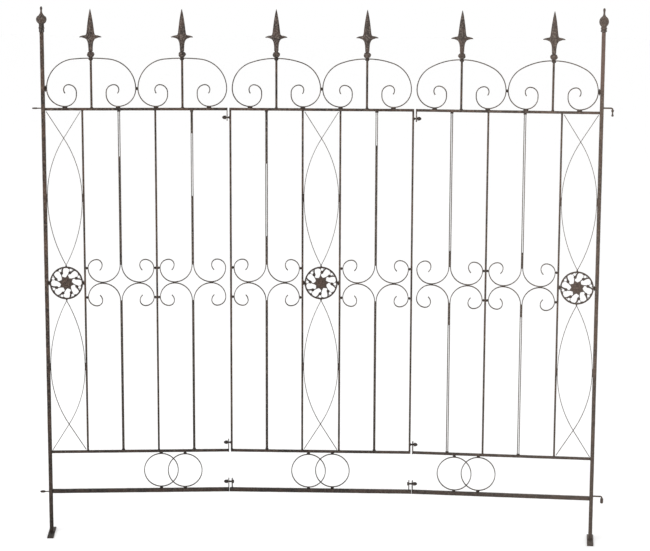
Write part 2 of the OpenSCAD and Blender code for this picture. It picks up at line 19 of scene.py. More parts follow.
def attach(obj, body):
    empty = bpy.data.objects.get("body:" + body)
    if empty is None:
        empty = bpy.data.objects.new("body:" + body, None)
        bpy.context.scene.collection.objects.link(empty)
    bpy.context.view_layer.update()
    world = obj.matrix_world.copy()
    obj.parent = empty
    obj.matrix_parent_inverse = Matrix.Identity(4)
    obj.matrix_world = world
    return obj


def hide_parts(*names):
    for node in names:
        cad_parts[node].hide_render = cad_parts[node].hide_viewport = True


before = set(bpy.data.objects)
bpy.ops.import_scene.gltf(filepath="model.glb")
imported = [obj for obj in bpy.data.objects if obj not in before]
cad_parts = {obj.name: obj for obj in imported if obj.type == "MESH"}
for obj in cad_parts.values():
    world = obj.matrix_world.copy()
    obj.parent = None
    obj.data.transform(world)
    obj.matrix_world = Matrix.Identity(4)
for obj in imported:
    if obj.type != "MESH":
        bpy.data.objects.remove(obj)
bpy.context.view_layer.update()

MM = 0.001

# %% [markdown]
# ## The panels
#
# Every node is named for its panel, and the bolts between the panels stay
# with the middle one. The outer panels stand 5 degrees forward of the middle
# one. Their castings and welds could be drawn at that angle, but it is
# simpler to draw them straight and then turn them with their panel.

# %% Panels and their directions
PANELS = ("left", "middle", "right")
BODY = {"left": "left_panel", "right": "right_panel"}
SWING = {"left": radians(5), "right": radians(-5)}


def panel_of(node):
    """The body that a node rides on."""
    return BODY.get(node.split("_")[0], "middle_panel")


def swing_of(node):
    """How far the node's panel is turned about Z."""
    return SWING.get(node.split("_")[0], 0.0)


def about(axis, angle):
    """A turn about one axis."""
    return Matrix.Rotation(angle, 3, axis)


print("left_post rides on", panel_of("left_post"), "and joint_bolts on", panel_of("joint_bolts"))

# %% [markdown]
# ## Reading the CAD solids
#
# A CAD node is a heap of loose triangles. It is left alone, and a copy is
# joined along its seams, with its flats made whole, so that cuts and bevels
# run cleanly over it. A node may hold several solids. Walking from corner to
# corner along the edges finds each of them, and so where each one stands.

# %% Copies and solids of a node
SPARE = 0.00001  # corners closer than 0.01 mm are one corner
ONE_FLAT = radians(0.5)  # faces that lean less than this are one flat


def joined_copy(node):
    """A copy of a CAD node's triangles, joined along their seams."""
    bm = bmesh.new()
    bm.from_mesh(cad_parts[node].data)
    bmesh.ops.remove_doubles(bm, verts=bm.verts, dist=SPARE)
    return bm


def cad_copy(node):
    """A joined copy of a CAD node with its flats whole again."""
    bm = joined_copy(node)
    bmesh.ops.dissolve_limit(bm, angle_limit=ONE_FLAT, verts=bm.verts, edges=bm.edges)
    return bm


def solids_of(node):
    """The separate solids of a node, each as a list of its corners."""
    bm = joined_copy(node)
    found, seen = [], set()
    for first in bm.verts:
        if first in seen:
            continue
        seen.add(first)
        solid, todo = [], [first]
        while todo:
            vert = todo.pop()
            solid.append(vert.co.copy())
            for edge in vert.link_edges:
                other = edge.other_vert(vert)
                if other not in seen:
                    seen.add(other)
                    todo.append(other)
        found.append(solid)
    bm.free()
    return found


def extent(points, turn=0.0):
    """Centre and size of a solid, measured along its panel."""
    turned = [about("Z", -turn) @ p for p in points]
    low = Vector([min(p[i] for p in turned) for i in range(3)])
    high = Vector([max(p[i] for p in turned) for i in range(3)])
    return about("Z", turn) @ ((low + high) / 2), high - low


print("spear heads stand at", [tuple(round(c, 3) for c in extent(solid)[0])
                               for solid in solids_of("middle_spear_heads")])

# %% [markdown]
# ## Weathered iron
#
# Old ironwork left outdoors is brown-black, with a bloom of rust in broad
# patches, and paler where it has been rubbed. It is matt, with a low sheen on
# the rubbed parts. It could be painted piece by piece, but noise on Object
# coordinates covers all the ironwork at its real scale, and stays with each
# piece as its panel swings. One function makes every finish from three
# colours and from the sizes of its patches, flecks and grit in millimetres.

# %% Colour and node helpers
FACTOR, FIRST, SECOND, MIXED = 0, 6, 7, 2  # a colour mix: three sockets in, and one out


def linear(hex_colour):
    """An sRGB hex colour as linear RGBA."""
    parts = [int(hex_colour[i:i + 2], 16) / 255 for i in (1, 3, 5)]
    return [c / 12.92 if c <= 0.04045 else ((c + 0.055) / 1.055) ** 2.4 for c in parts] + [1.0]


def add_node(tree, kind, inputs=None, stops=None, **settings):
    """Add a node, with its settings, its values and the sockets linked to it."""
    node = tree.nodes.new(kind)
    for key, value in settings.items():
        setattr(node, key, value)
    if stops:
        ramp = node.color_ramp
        while len(ramp.elements) < len(stops):
            ramp.elements.new(0.5)
        for element, (place, grey) in zip(ramp.elements, stops):
            element.position = place
            element.color = (grey, grey, grey, 1.0)
    for key, value in (inputs or {}).items():
        if isinstance(value, bpy.types.NodeSocket):
            tree.links.new(value, node.inputs[key])
        else:
            node.inputs[key].default_value = value
    return node


print("brown-black iron is", [round(c, 3) for c in linear("#261e1a")], "in linear light")

# %% The weathered iron finish
# A colour that darkens the gate towards its bottom, and one that makes it paler towards its right
# end
LOWER_DARK, LOWER_DARK_FROM, LOWER_DARK_FULL = "#0a0807", 0.8, 0.1  # its colour, and where it fades in and is full
PALE, PALE_FROM, PALE_TO = "#8c7d72", -0.1, 0.9  # the same for the paler, right end


def weathered_iron(name, dark, bloom, rubbed, patch_mm=60, fleck_mm=6, grit_mm=1.2,
                   pitting_mm=0.35, rough=(0.5, 0.82), metal=0.35, ridges=False, upper=None):
    """Iron with a bloom of rust in patches and paler, rubbed flecks.

    rough is how rough the rubbed and the rusted parts are. upper is a colour,
    and the two heights in metres between which it sets in. Grit on real iron
    is under half a millimetre across, and is drawn coarser so that it shows.
    """
    material = bpy.data.materials.new(name)
    material.use_nodes = True
    tree = material.node_tree
    tree.nodes.clear()
    place = add_node(tree, "ShaderNodeTexCoord").outputs["Object"]

    # The rust's broad patches, the rubbed flecks and the grit
    patches = add_node(tree, "ShaderNodeTexNoise", {
        "Vector": place, "Scale": 1 / (patch_mm * MM), "Detail": 5.0, "Roughness": 0.62})
    patchy = add_node(tree, "ShaderNodeValToRGB", {"Fac": patches.outputs["Fac"]},
                      stops=[(0.40, 0.0), (0.62, 1.0)])
    flecks = add_node(tree, "ShaderNodeTexNoise", {
        "Vector": place, "Scale": 1 / (fleck_mm * MM), "Detail": 4.0, "Roughness": 0.7})
    flecked = add_node(tree, "ShaderNodeValToRGB", {"Fac": flecks.outputs["Fac"]},
                       stops=[(0.48, 0.0), (0.70, 1.0)])
    grit = add_node(tree, "ShaderNodeTexNoise", {
        "Vector": place, "Scale": 1 / (grit_mm * MM), "Detail": 3.0, "Roughness": 0.7})
    browned = add_node(tree, "ShaderNodeMix", {
        FACTOR: patchy.outputs["Color"], FIRST: linear(dark), SECOND: linear(bloom)},
        data_type="RGBA")
    colour = add_node(tree, "ShaderNodeMix", {
        FACTOR: flecked.outputs["Color"], FIRST: browned.outputs[MIXED],
        SECOND: linear(rubbed)}, data_type="RGBA")

    if ridges:
        # A casting is paler along its ridges, from wear and a painted highlight, and its hollows
        # are darkened with painted shade
        edge = add_node(tree, "ShaderNodeNewGeometry").outputs["Pointiness"]
        ridge = add_node(tree, "ShaderNodeValToRGB", {"Fac": edge},
                         stops=[(0.54, 0.0), (0.68, 1.0)])
        hollow_shade = add_node(tree, "ShaderNodeValToRGB", {"Fac": edge},
                          stops=[(0.40, 1.0), (0.49, 0.0)])
        rubbed_and_lit = add_node(tree, "ShaderNodeMix", {
            FACTOR: ridge.outputs["Color"], FIRST: colour.outputs[MIXED],
            SECOND: linear(rubbed)}, data_type="RGBA")
        colour = add_node(tree, "ShaderNodeMix", {
            FACTOR: hollow_shade.outputs["Color"], FIRST: rubbed_and_lit.outputs[MIXED],
            SECOND: linear(dark)}, data_type="RGBA")

    # Every finish is darker towards the bottom of the gate and paler towards its right end
    spot = add_node(tree, "ShaderNodeSeparateXYZ", {"Vector": place})
    darkening = add_node(tree, "ShaderNodeMapRange", {
        "Value": spot.outputs["Z"], "From Min": LOWER_DARK_FROM, "From Max": LOWER_DARK_FULL, "To Max": 0.55})
    paler = add_node(tree, "ShaderNodeMapRange", {
        "Value": spot.outputs["X"], "From Min": PALE_FROM, "From Max": PALE_TO, "To Max": 0.22})
    darkened = add_node(tree, "ShaderNodeMix", {
        FACTOR: darkening.outputs[0], FIRST: colour.outputs[MIXED], SECOND: linear(LOWER_DARK)},
        data_type="RGBA")
    colour = add_node(tree, "ShaderNodeMix", {
        FACTOR: paler.outputs[0], FIRST: darkened.outputs[MIXED], SECOND: linear(PALE)},
        data_type="RGBA")
    if upper:
        above = add_node(tree, "ShaderNodeMapRange", {
            "Value": spot.outputs["Z"], "From Min": upper[1], "From Max": upper[2],
            "To Max": 0.72})
        colour = add_node(tree, "ShaderNodeMix", {
            FACTOR: above.outputs[0], FIRST: colour.outputs[MIXED], SECOND: linear(upper[0])},
            data_type="RGBA")

    # Rubbed flecks shine a little, and flecks and grit together pit the surface
    sheen = add_node(tree, "ShaderNodeMapRange", {
        "Value": flecks.outputs["Fac"], "From Min": 0.35, "From Max": 0.7,
        "To Min": rough[1], "To Max": rough[0]})
    heights = add_node(tree, "ShaderNodeMath", {
        0: flecks.outputs["Fac"], 1: grit.outputs["Fac"]}, operation="ADD")
    bump = add_node(tree, "ShaderNodeBump", {
        "Height": heights.outputs[0], "Strength": 0.6, "Distance": pitting_mm * MM})
    shader = add_node(tree, "ShaderNodeBsdfPrincipled", {
        "Base Color": colour.outputs[MIXED], "Roughness": sheen.outputs[0],
        "Metallic": metal, "Normal": bump.outputs["Normal"]})
    add_node(tree, "ShaderNodeOutputMaterial", {"Surface": shader.outputs["BSDF"]})
    return material


print("damp fades in below", LOWER_DARK_FROM, "m")

# %% The finishes of this gate
# Hot-rolled bar: brown-black and even, since its mill skin holds off the rust
BAR_IRON = weathered_iron("rolled bar, weathered", "#261e1a", "#4d3a2f", "#6b5d52")
# Thin rolled strip: greyer and a little paler, rubbed by the bending
STRIP_IRON = weathered_iron("flat strip, weathered", "#2a2320", "#4c4038", "#857b72",
                            patch_mm=45, fleck_mm=5)
# Sand-cast iron: a grainy skin, paler on its ridges from wear and a painted highlight, with
# painted shade in its hollows
CAST_IRON = weathered_iron("cast iron, weathered", "#241d1a", "#45362f", "#83776e",
                           patch_mm=22, fleck_mm=4, pitting_mm=0.5, ridges=True)
# Sand-cast iron in thin, open work, where dirt stays: the darkest casting
DARK_CAST = weathered_iron("cast iron, sooty", "#1b1513", "#362a26", "#54463f",
                           patch_mm=13, fleck_mm=3, pitting_mm=0.5, ridges=True)
# Sand-cast iron that stands proud and has rusted: a warmer, lighter brown
BOSS_IRON = weathered_iron("cast iron, brown", "#332722", "#54423a", "#77665b",
                           patch_mm=16, fleck_mm=4, pitting_mm=0.5, ridges=True)
# Weld that was never ground: dark, with a coarse, pitted skin
WELD_IRON = weathered_iron("weld bead, weathered", "#1a1411", "#30251f", "#4a3d34",
                           patch_mm=20, fleck_mm=3, pitting_mm=0.6)
# Turned steel: more bare metal, so its corners catch the light
BOLT_STEEL = weathered_iron("bolt steel, weathered", "#1c1715", "#372d27", "#5d524a",
                            patch_mm=18, fleck_mm=3, metal=0.5)
# Bar that has rusted down from its top end: a pinkish brown above the crest
RUSTED_POST = weathered_iron("rolled bar, rusted at the top", "#261e1a", "#4d3a2f", "#6b5d52",
                             patch_mm=70, upper=("#6e5a51", 1.41, 1.46))
print("finishes", [m.name for m in bpy.data.materials])

# %% [markdown]
# ## Placing a piece
#
# Each new piece rides on its panel, stands for the CAD node it was made
# from, and takes the finish it is given. It could be drawn at the
# origin and moved, but its place is kept in its mesh instead, as a CAD
# node's is, so that the iron's patches run on from piece to piece.

# %% Making an object from a mesh in hand


def make_piece(bm, name, node, material, sharp=radians(32)):
    """Turn a bmesh into a piece that rides on its node's panel and stands for it."""
    mesh = bpy.data.meshes.new(name)
    bm.to_mesh(mesh)
    bm.free()
    mesh.shade_smooth()
    mesh.set_sharp_from_angle(angle=sharp)
    piece = bpy.data.objects.new(name, mesh)
    bpy.context.collection.objects.link(piece)
    mesh.materials.append(material)
    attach(piece, panel_of(node))
    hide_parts(node)
    return piece


print(len(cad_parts), "CAD nodes to stand for")

# %% [markdown]
# ## Rolled bars
#
# Posts, rails and stiles are square bar. Weather and handling round its
# corners, and the hammer leaves it very slightly uneven. New boxes could be
# drawn, but a copy of each solid already has the right ends and place. The
# copy is cut across every 12 mm, its corners are bevelled, and its surface is
# moved in or out by up to 0.3 mm, which is enough to break a straight gleam.

# %% Bars with worn corners
CORNER = radians(40)  # faces that meet at more than this make a corner
CUT = 12 * MM  # from one cut across a bar to the next
HAMMER = 18 * MM  # from one hammer mark to the next
LENGTHWISE = 0.6  # an edge this long, as a share of the longest, runs along the bar


def worn_bar(node, corner_mm, material=BAR_IRON, uneven_mm=0.2):
    """A square bar with rounded corners and an uneven, hammered surface."""
    bm = cad_copy(node)
    length = max(e.calc_length() for e in bm.edges)
    along = [e for e in bm.edges if e.calc_length() > length * LENGTHWISE]
    bmesh.ops.subdivide_edges(bm, edges=along, cuts=int(length / CUT), use_grid_fill=True)
    corners = [e for e in bm.edges if len(e.link_faces) == 2 and e.calc_face_angle() > CORNER]
    bmesh.ops.bevel(bm, geom=corners, offset=corner_mm * MM, offset_type="OFFSET", segments=2,
                    profile=0.5, affect="EDGES", material=-1)
    bm.normal_update()
    for vert in bm.verts:
        vert.co += vert.normal * noise.noise(vert.co / HAMMER) * uneven_mm * MM
    return make_piece(bm, node + "_worn", node, material)


for side in ("left", "right"):
    worn_bar(side + "_post", 1.4, RUSTED_POST if side == "right" else BAR_IRON, 0.3)
    worn_bar(side + "_foot", 0.8)
for panel in PANELS:
    worn_bar(panel + "_top_rail", 0.9)
    worn_bar(panel + "_lower_rail", 0.9)
    worn_bar(panel + "_base_rail", 1.2, uneven_mm=0.3)
    worn_bar(panel + "_stiles", 0.7)

# %% [markdown]
# ## Strips and small forgings
#
# Scrolls and rings are strip, bent cold. With the tabs, stems, eyes, hooks
# and nuts they need only their sharp edges broken. bmesh could bevel them as
# it does the bars, but the Bevel modifier finds every edge sharper than 40
# degrees by itself, and leaves the smooth run of the curves alone.

# %% Copies with broken edges


def eased_copy(node, edge_mm, material):
    """A copy of a CAD node with its sharp edges broken by a small bevel."""
    piece = make_piece(cad_copy(node), node + "_eased", node, material)
    ease = piece.modifiers.new("broken edges", "BEVEL")
    ease.width = edge_mm * MM
    ease.segments = 2
    ease.limit_method = "ANGLE"
    ease.angle_limit = CORNER
    return piece


STRIP_PARTS = ("dome_scrolls", "upper_scrolls", "lower_scrolls", "medallion_strips", "base_rings")
for panel in PANELS:
    for part in STRIP_PARTS:
        eased_copy(f"{panel}_{part}", 0.4, STRIP_IRON)
    eased_copy(panel + "_crest_stems", 0.3, BAR_IRON)
for node in ("left_joint_tabs", "right_joint_tabs", "middle_base_tabs"):
    eased_copy(node, 0.4, STRIP_IRON)
for node in ("left_hanging_eyes", "right_hanging_hooks"):
    eased_copy(node, 0.3, BAR_IRON)
for node, edge_mm in (("joint_bolts", 0.4), ("joint_washers", 0.4), ("joint_nuts", 0.7)):
    eased_copy(node, edge_mm, BOLT_STEEL)
for panel in PANELS:
    eased_copy(panel + "_pair_fillers", 0.3, STRIP_IRON)

# %% [markdown]
# ## Turned castings
#
# The finials on the posts were cast from turned patterns. They could be
# stacked up from spheres and cones, but one profile spun about its axis is how
# a turner would make them, and leaves no seams. The left onion has a faint
# twist to its skin, and the right ball has ten upright flutes. Both come from
# moving each corner in according to its angle round the post.

# %% Spinning a profile


def spun(profile, steps=64, flutes=0, depth=0.0, band=(0, 0), twist=0.0):
    """A profile of (radius, height) in mm, spun round Z, with flutes in a band."""
    bm = bmesh.new()
    line = [bm.verts.new((r * MM, 0, z * MM)) for r, z in profile]
    edges = [bm.edges.new(pair) for pair in zip(line, line[1:])]
    bmesh.ops.spin(bm, geom=line + edges, axis=(0, 0, 1), cent=(0, 0, 0), steps=steps,
                   angle=2 * pi, use_merge=True, use_duplicate=False)
    bmesh.ops.remove_doubles(bm, verts=bm.verts, dist=SPARE)
    for vert in bm.verts:
        z = vert.co.z / MM
        if flutes and band[0] < z < band[1]:
            swell = sin(pi * (z - band[0]) / (band[1] - band[0]))
            turn = atan2(vert.co.y, vert.co.x) + twist * (z - band[0])
            vert.co.xy *= 1 - depth * swell * (1 - abs(cos(turn * flutes / 2)))
    bmesh.ops.recalc_face_normals(bm, faces=bm.faces)
    return bm


def stand(bm, spot, turn=0.0):
    """Move a shape drawn at the origin to its spot, turned to face its panel's way."""
    bmesh.ops.transform(bm, matrix=Matrix.Translation(spot) @ Matrix.Rotation(turn, 4, "Z"),
                        verts=bm.verts)
    return bm


def foot_of(node, number=0):
    """The middle of the underside of one of a node's solids."""
    centre, size = extent(solids_of(node)[number], swing_of(node))
    return centre - Vector((0, 0, size.z / 2))


print("the left finial stands at", [round(c, 3) for c in foot_of("left_post_finial")])

# %% The two finials
ONION = [  # radius and height in mm: socket, onion, and the spike on top
    (0, 0), (7.6, 0), (8, 0.6), (8, 10.6), (8.8, 11.2), (9.3, 12.2), (9.3, 14.2), (8.7, 15.2),
    (8, 15.8), (8, 25.6)] + [
    (16.3 * cos(radians(a)), 39 + 15 * sin(radians(a))) for a in range(-55, 45, 5)] + [
    (10, 50.2), (7.8, 52.4), (5.9, 54.8), (4.5, 57.6), (3.5, 60.4), (3, 63), (2.8, 67), (3.2, 69),
    (3.7, 71), (3.8, 73.4), (3.4, 75.8), (2.4, 77.9), (1, 78.8), (0, 79)]
BALL = [  # the same: two rings, ball, and the spike on top
    (0, 0), (8.4, 0), (9.4, 0.8), (9.7, 2.6), (9.4, 4.6), (8.4, 5.6), (7.8, 6.5), (8.4, 7.6),
    (9.4, 8.6), (9.7, 10.2), (9.4, 12), (8.6, 13.2), (8.2, 15), (8.4, 17)] + [
    (14.7 * cos(radians(a)), 31 + 17 * sin(radians(a))) for a in range(-52, 58, 4)] + [
    (6.2, 46.8), (4.6, 49), (3.5, 51.6), (3, 54), (2.9, 58), (3.2, 61), (3.7, 64), (3.8, 66.4),
    (3.4, 69), (2.2, 71.2), (0, 72)]
onion = spun(ONION, flutes=8, depth=0.05, band=(25, 55), twist=0.03)
ball = spun(BALL, steps=80, flutes=10, depth=0.16, band=(16, 47))
for node, shape in (("left_post_finial", onion), ("right_post_finial", ball)):
    make_piece(stand(shape, foot_of(node)), node + "_cast", node, CAST_IRON)

# %% [markdown]
# ## Spear heads
#
# A spear head is a casting with a ridged blade, two drooping arms and a
# lobed ball. The blade could be cut from a block, but drawing it out is
# quicker and rounder: one six-sided column goes up through rings that swell
# at the cross bar and narrow to the point, and its side faces there are drawn
# out sideways in smaller and smaller steps. Creases keep the blade's ridge
# crisp while a Subdivision Surface rounds the rest.

# %% Drawing faces out


def pull_out(bm, faces, keep=False):
    """Extrude some faces and return the new geometry, without the faces left inside."""
    made = bmesh.ops.extrude_face_region(bm, geom=faces)["geom"]
    if not keep:
        bmesh.ops.delete(bm, geom=faces, context="FACES_ONLY")
    return made


def only(kind, made):
    """The faces, or the corners, among some new geometry."""
    return [g for g in made if isinstance(g, kind)]


trial = bmesh.new()
bmesh.ops.create_grid(trial, x_segments=1, y_segments=1, size=1)
pull_out(trial, trial.faces[:])
print("a square pulled out has", len(trial.faces), "faces, its four sides and its new end")
trial.free()

# %% Blade, arms and shank
SPEAR_RINGS = [  # height, half width, half thickness of the edge, half depth at the ridge
    (8, 7.4, 4.4, 6.4), (14, 6.9, 3.8, 6.0), (24, 7.4, 3.4, 5.8), (34, 8.2, 3.2, 5.8),
    (41, 10.2, 3.0, 6.2), (47.5, 14.2, 3.0, 6.6), (53.5, 16.4, 3.0, 6.8), (59.5, 14.4, 2.6, 6.6),
    (64, 12.2, 1.2, 6.2), (78, 10.7, 0.9, 5.6), (98, 8.4, 0.7, 4.4), (118, 5.2, 0.5, 3.0),
    (132, 2.4, 0.3, 1.4), (139.8, 0.4, 0.2, 0.4)]
CROSS_BAR, BLADE_FOOT = 53.5, 59  # heights in mm
ARM_ROOT = 13  # a face that is all further out than this is drawn out into an arm
ARM_HALF_DEPTH, ARM_HALF_HEIGHT = 2.8, 6
SAME_LEVEL = 1.2  # corners this near the arm's middle height are its ridge
ARM_STEPS = [  # reach, height, and shares of the arm's height and depth
    (19.5, 54.0, 0.80, 1.0), (24, 54.6, 0.58, 0.95), (29, 54.2, 0.40, 0.8),
    (33, 53.2, 0.26, 0.6), (34, 52.8, 0.12, 0.3)]
RIDGE_CREASE, EDGE_CREASE = 0.75, 0.5


def hexagon(half_width, edge, ridge):
    """The six corners of a section, from the right edge round by the front."""
    return [(half_width, -edge), (0, -ridge), (-half_width, -edge),
            (-half_width, edge), (0, ridge), (half_width, edge)]


def draw_out_arm(bm, side):
    """Draw the column's side faces at the cross bar out into an arm."""
    tip = [f for f in bm.faces if all(v.co.x * side > ARM_ROOT * MM for v in f.verts)]
    middle = CROSS_BAR
    for reach, height, tall, deep in ARM_STEPS:
        made = pull_out(bm, tip)
        tip = only(bmesh.types.BMFace, made)
        for vert in only(bmesh.types.BMVert, made):
            back = 1 if vert.co.y > 0 else -1
            level = vert.co.z / MM - middle
            up = 0 if abs(level) < SAME_LEVEL else 1 if level > 0 else -1
            vert.co = Vector((side * reach, back * ARM_HALF_DEPTH * deep,
                              height + up * ARM_HALF_HEIGHT * tall)) * MM
        middle = height


def spear_blade():
    """Blade, cross arms and shank as a cage for the Subdivision Surface."""
    bm = bmesh.new()
    bmesh.ops.create_circle(bm, cap_ends=True, segments=6, radius=MM)
    bm.faces.ensure_lookup_table()
    top = bm.faces[0]
    crease = bm.edges.layers.float.new("crease_edge")
    for step, (z, *section) in enumerate(SPEAR_RINGS):
        if step:
            # The first face is kept, because it closes the underside
            top = only(bmesh.types.BMFace, pull_out(bm, [top], keep=step == 1))[0]
        for vert, (x, y) in zip(top.verts, hexagon(*section)):
            vert.co = Vector((x, y, z)) * MM
    for side in (-1, 1):
        draw_out_arm(bm, side)
    for edge in bm.edges:
        a, b = (v.co for v in edge.verts)
        if abs(a.z - b.z) > 4 * MM and min(a.z, b.z) > BLADE_FOOT * MM:
            edge[crease] = RIDGE_CREASE if abs(a.x) < SPARE else EDGE_CREASE
    bmesh.ops.recalc_face_normals(bm, faces=bm.faces)
    return bm


print("a spear head is drawn out through", len(SPEAR_RINGS), "rings, and each arm in",
      len(ARM_STEPS), "steps")

# %% The ball, and the six heads
SPEAR_BALL, SPEAR_BALL_HALF_HEIGHT = 11.4, 9.9  # radius and half height in mm
BALL_MIDDLE = 10 * MM  # from the underside of the head up to the middle of its ball


def spear_ball(seed):
    """A lumpy ball with three twisted lobes."""
    bm = bmesh.new()
    bmesh.ops.create_uvsphere(bm, u_segments=36, v_segments=20, radius=1)
    for vert in bm.verts:
        x, y, z = vert.co
        turn = atan2(y, x) + 1.4 * z + seed
        lobe = 1 + 0.05 * cos(3 * turn) + 0.05 * noise.noise(vert.co * 2.3 + Vector((seed, 0, 0)))
        vert.co = Vector((x * SPEAR_BALL * lobe, y * SPEAR_BALL * lobe,
                          z * SPEAR_BALL_HALF_HEIGHT)) * MM
    return bm


for panel in PANELS:
    node = panel + "_spear_heads"
    for number in range(len(solids_of(node))):
        spot = foot_of(node, number) + Vector((0, 0, BALL_MIDDLE))
        blade = stand(spear_blade(), spot, swing_of(node))
        blade = make_piece(blade, f"{node}_blade_{number + 1}", node, CAST_IRON,
                           sharp=radians(70))
        smooth = blade.modifiers.new("cast surface", "SUBSURF")
        smooth.levels = smooth.render_levels = 2
        # Each ball has its own seed, so no two are alike
        ball = stand(spear_ball(number * 1.9 + len(panel)), spot, swing_of(node))
        make_piece(ball, f"{node}_ball_{number + 1}", node, CAST_IRON,
                   sharp=radians(180))

# %% [markdown]
# ## Rosettes
#
# Each rosette is a cast ring round an eight-pointed star with a domed boss.
# Eight thin stems swirl from the star's points to small eyes under the rim,
# each with a fat lobe beside it. They could be carved from one disc, but
# parts that run into each other, as in a casting pattern, keep the openings
# clean. One stem, eye and lobe are made, and turned seven times about the
# middle. The three rosettes were fixed at different turns.

# %% Bars drawn along a path


def drawn_out(bm, path, radii, sides=8):
    """A round bar drawn out along a path of points, in mm, with its own radii."""
    ring = bmesh.ops.create_circle(bm, cap_ends=True, segments=sides, radius=1)["verts"]
    face = ring[0].link_faces[0]
    unit = [v.co.copy() for v in face.verts]
    for step, (spot, radius) in enumerate(zip(path, radii)):
        if step:
            face = only(bmesh.types.BMFace, pull_out(bm, [face], keep=step == 1))[0]
        ahead = Vector(path[min(step + 1, len(path) - 1)]) - Vector(path[max(step - 1, 0)])
        facing = ahead.to_track_quat("Z", "Y")
        for vert, corner in zip(face.verts, unit):
            vert.co = (Vector(spot) + facing @ (corner * radius)) * MM


def merge_in(bm, part):
    """Add one bmesh to another and free it."""
    mesh = bpy.data.meshes.new("part")
    part.to_mesh(mesh)
    part.free()
    bm.from_mesh(mesh)
    bpy.data.meshes.remove(mesh)


def turned(bm, matrix):
    """Turn a shape about the origin."""
    bmesh.ops.rotate(bm, cent=(0, 0, 0), matrix=matrix, verts=bm.verts)
    return bm


def polar(radius, degrees):
    """A point on the XY plane, in mm."""
    return (radius * cos(radians(degrees)), radius * sin(radians(degrees)), 0)


print("50 mm out and a quarter turn round is", [round(c, 1) for c in polar(50, 90)])

# %% One arm of the rosette
INNER_STEM = ([polar(16, 11), polar(21, 10.5), polar(26, 7.5), polar(30, 3.5), polar(33.5, 0)],
              [3.0, 2.1, 1.4, 1.7, 2.6])  # its path, and its radius at each point
OUTER_STEM = ([polar(33.5, -1), polar(36.5, -5.5), polar(40.5, -8.8), polar(44.5, -11),
               polar(48, -13.5), polar(50, -16)], [2.9, 2.6, 2.0, 2.1, 2.9, 2.4])
LOBES = ((34, -0.5, (4.9, 5.0, 2.9)), (47.6, 9, (2.6, 4.6, 2.6)))  # radius, degrees, half sizes
EYE_PLACE, EYE_RADIUS = 43.4, 4.9
EYE_HALF_WIDTH, EYE_HALF_DEPTH = 0.7, 1.6


def rosette_arm():
    """One swirling stem, flat on the XY plane, with its lobes and its eye."""
    bm = bmesh.new()
    drawn_out(bm, *INNER_STEM)
    drawn_out(bm, *OUTER_STEM)
    for radius, degrees, size in LOBES:
        lobe = bmesh.ops.create_uvsphere(bm, u_segments=16, v_segments=10, radius=1)["verts"]
        place = Matrix.Translation(Vector(polar(radius, degrees)) * MM)
        swell = Matrix.Diagonal(Vector((*size, 1 / MM)) * MM)
        bmesh.ops.transform(bm, verts=lobe,
                            matrix=place @ Matrix.Rotation(radians(degrees), 4, "Z") @ swell)
    eye = spun([(EYE_RADIUS + EYE_HALF_WIDTH * cos(radians(a)), EYE_HALF_DEPTH * sin(radians(a)))
                for a in range(0, 361, 45)], steps=20)
    bmesh.ops.translate(eye, vec=Vector(polar(EYE_PLACE, 0)) * MM, verts=eye.verts)
    merge_in(bm, eye)
    return bm


print("an arm is two stems,", len(LOBES), "lobes and an eye", EYE_PLACE, "mm out")

# %% The star
STAR_POINT, STAR_VALLEY = 25, 17.5  # radii of its rays and of the notches between them
STAR_HEIGHT, STAR_EDGE = 6.8, 1.6  # half depths at the middle and at the rim
SPOKE = pi / 8  # from a ray to the next notch


def rosette_star():
    """The eight-pointed star, raised to a ridge along each ray."""
    bm = bmesh.new()
    bmesh.ops.create_circle(bm, cap_ends=True, cap_tris=True, segments=16, radius=1)
    for vert in bm.verts:
        if vert.co.length < 0.5:
            vert.co = (0, 0, STAR_HEIGHT * MM)
            continue
        spoke = round(atan2(vert.co.y, vert.co.x) / SPOKE)
        radius = STAR_POINT if spoke % 2 == 0 else STAR_VALLEY
        vert.co = Vector((radius * cos(spoke * SPOKE), radius * sin(spoke * SPOKE),
                          STAR_EDGE)) * MM
    # Both faces are wanted, so the first stays and the new one is its mirror
    for vert in only(bmesh.types.BMVert, pull_out(bm, bm.faces[:], keep=True)):
        vert.co.z = -vert.co.z
    bmesh.ops.recalc_face_normals(bm, faces=bm.faces)
    return bm


print("the star is", 2 * STAR_POINT, "mm across")

# %% The three rosettes
ROSETTE_RIM = [  # radius and height in mm
    (47.4, -2.2), (48, -3), (51, -3), (52, -2.2), (52, 2.2), (51, 3), (48, 3), (47.4, 2.2),
    (47.4, -2.2)]
ROSETTE_BOSS = [
    (0, -7), (11.4, -7), (12, -6), (12, 4), (11.6, 5.6), (10.4, 6.6), (9.2, 6), (8.4, 5.6),
    (7.4, 6), (6, 7.4), (3.4, 8.5), (0, 8.9)]
ROSETTE_TURNS = {"left_rosette": 26, "middle_rosette": 41, "right_rosette": 11}  # degrees
STAR_TURN = radians(8)  # the star leads its stems by this much
ARMS = 8

for node, degrees in ROSETTE_TURNS.items():
    cast = spun(ROSETTE_RIM, steps=96)
    merge_in(cast, turned(rosette_star(), about("Z", STAR_TURN)))
    for arm in range(ARMS):
        merge_in(cast, turned(rosette_arm(), about("Z", arm * 2 * pi / ARMS)))
    boss = spun(ROSETTE_BOSS, steps=40)
    centre = extent([p for solid in solids_of(node) for p in solid], swing_of(node))[0]
    upright = about("X", pi / 2) @ about("Z", radians(degrees))
    for part, shape, finish in (("cast", cast, DARK_CAST), ("boss", boss, BOSS_IRON)):
        turned(shape, upright)
        bmesh.ops.recalc_face_normals(shape, faces=shape.faces)
        make_piece(stand(shape, centre, swing_of(node)), f"{node}_{part}", node, finish)

# %% [markdown]
# ## Threaded studs
#
# Four threaded studs hold the outer panels, and a bead of weld holds each
# stud to its stile. A true thread is a helix, and the Screw modifier could
# make one. On a 6 mm stud the eye can't tell it from plain rings, and a
# spun profile of rings closes neatly at both ends, so the studs have rings.

